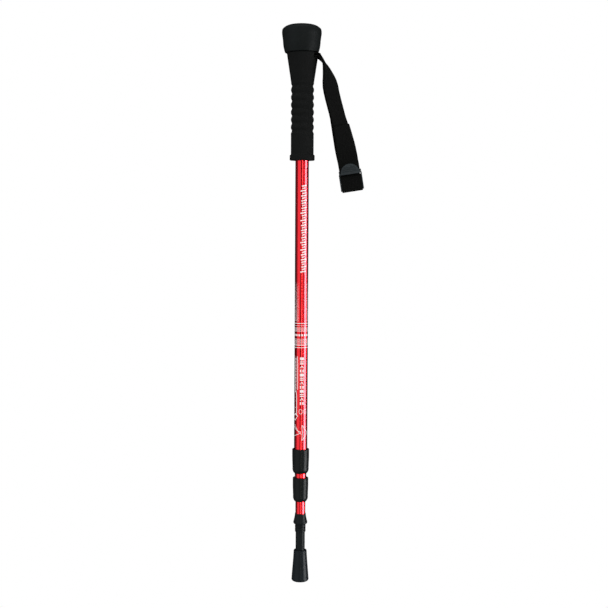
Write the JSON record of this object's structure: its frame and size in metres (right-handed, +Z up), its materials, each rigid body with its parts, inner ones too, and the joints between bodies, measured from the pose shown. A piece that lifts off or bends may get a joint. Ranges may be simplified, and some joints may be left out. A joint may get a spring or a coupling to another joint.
{
  "type": "telescopic ski pole",
  "caption": "Collapsible ski and walking pole with twist-lock tube sections, anti-shock spring, ribbed foam grip, buckled wrist strap and rubber foot, shown pushed together.",
  "frame": {"origin": "centre of the rubber foot's sole", "axes": "+Z up the pole's axis to the cap; the wrist strap leaves the grip towards +X; the buckle's face looks towards -Y"},
  "size_m": [0.0978, 0.0468, 0.6682],
  "materials": {
    "foam": "closed-cell foam, fine matte skin",
    "cap_rubber": "soft matte rubber",
    "black_plastic": "moulded, fine texture",
    "collar_plastic": "satin moulded plastic",
    "buckle_plastic": "satin moulded acetal",
    "nylon": "natural nylon",
    "webbing": "woven polyester webbing",
    "red_anodised": "bright red anodised, printed with plain stripes",
    "steel": "zinc plated",
    "spring_steel": "oiled spring wire",
    "carbide": "ground carbide",
    "foot_rubber": "moulded rubber, low sheen"
  },
  "bodies": {
    "handle": {"foam_grip": "foam", "grip_cap": "cap_rubber", "grip_core": "black_plastic", "strap_pin": "steel", "strap_anchor": "webbing", "upper_tube": "red_anodised", "upper_collar": "collar_plastic"},
    "upper_lock": {"upper_expander": "nylon"},
    "upper_wedge": {"upper_cone": "black_plastic"},
    "middle_section": {"middle_plug": "black_plastic", "upper_stud": "steel", "upper_stop": "steel", "middle_tube": "red_anodised", "lower_collar": "collar_plastic"},
    "lower_lock": {"lower_expander": "nylon"},
    "lower_wedge": {"lower_cone": "black_plastic"},
    "shock_core": {"shock_rod": "steel", "lower_stop": "steel", "spring_seat": "steel", "rod_retainer": "steel", "shock_spring": "spring_steel"},
    "lower_section": {"shock_guide": "nylon", "lower_tube": "red_anodised", "tip_ferrule": "black_plastic", "carbide_tip": "carbide"},
    "foot": {"rubber_foot": "foot_rubber", "foot_washer": "steel"},
    "strap": {"wrist_strap": "webbing", "strap_tail": "webbing"},
    "buckle": {"strap_buckle": "buckle_plastic", "strap_sewn_end": "webbing"}
  },
  "joints": [
    {"name": "upper_extension", "type": "slide", "parent": "handle", "child": "upper_lock", "axis": [0, 0, -1], "range_m": [0, 0.35]},
    {"name": "upper_twist", "type": "hinge", "parent": "upper_lock", "child": "middle_section", "pos_m": [0, 0, 0.57], "axis": [0, 0, 1], "range_deg": [-540, 0]},
    {"name": "upper_wedge_travel", "type": "slide", "parent": "upper_lock", "child": "upper_wedge", "axis": [0, 0, 1], "range_m": [0, 0.004]},
    {"name": "lower_extension", "type": "slide", "parent": "middle_section", "child": "lower_lock", "axis": [0, 0, -1], "range_m": [0, 0.3]},
    {"name": "lower_twist", "type": "hinge", "parent": "lower_lock", "child": "shock_core", "pos_m": [0, 0, 0.51], "axis": [0, 0, 1], "range_deg": [-540, 0]},
    {"name": "lower_wedge_travel", "type": "slide", "parent": "lower_lock", "child": "lower_wedge", "axis": [0, 0, 1], "range_m": [0, 0.004]},
    {"name": "shock_travel", "type": "slide", "parent": "shock_core", "child": "lower_section", "axis": [0, 0, 1], "range_m": [0, 0.012], "stiffness_N_per_m": 8000, "springref_m": -0.004, "deforming": ["shock_spring"]},
    {"name": "foot_pull_off", "type": "slide", "parent": "lower_section", "child": "foot", "axis": [0, 0, -1], "range_m": [0, 0.06]},
    {"name": "strap_swing", "type": "hinge", "parent": "handle", "child": "strap", "pos_m": [0.0188, 0, 0.6317], "axis": [0, -1, 0], "range_deg": [-8, 45]},
    {"name": "buckle_release", "type": "hinge", "parent": "strap", "child": "buckle", "pos_m": [0.05631, -0.006, 0.4965], "axis": [0.9875, 0.0012, 0.1578], "range_deg": [0, 25]}
  ],
  "couplings": [
    {"joint": "upper_wedge_travel", "follows": "upper_twist", "m_per_rad": -0.00039789},
    {"joint": "lower_wedge_travel", "follows": "lower_twist", "m_per_rad": -0.00039789}
  ]
}
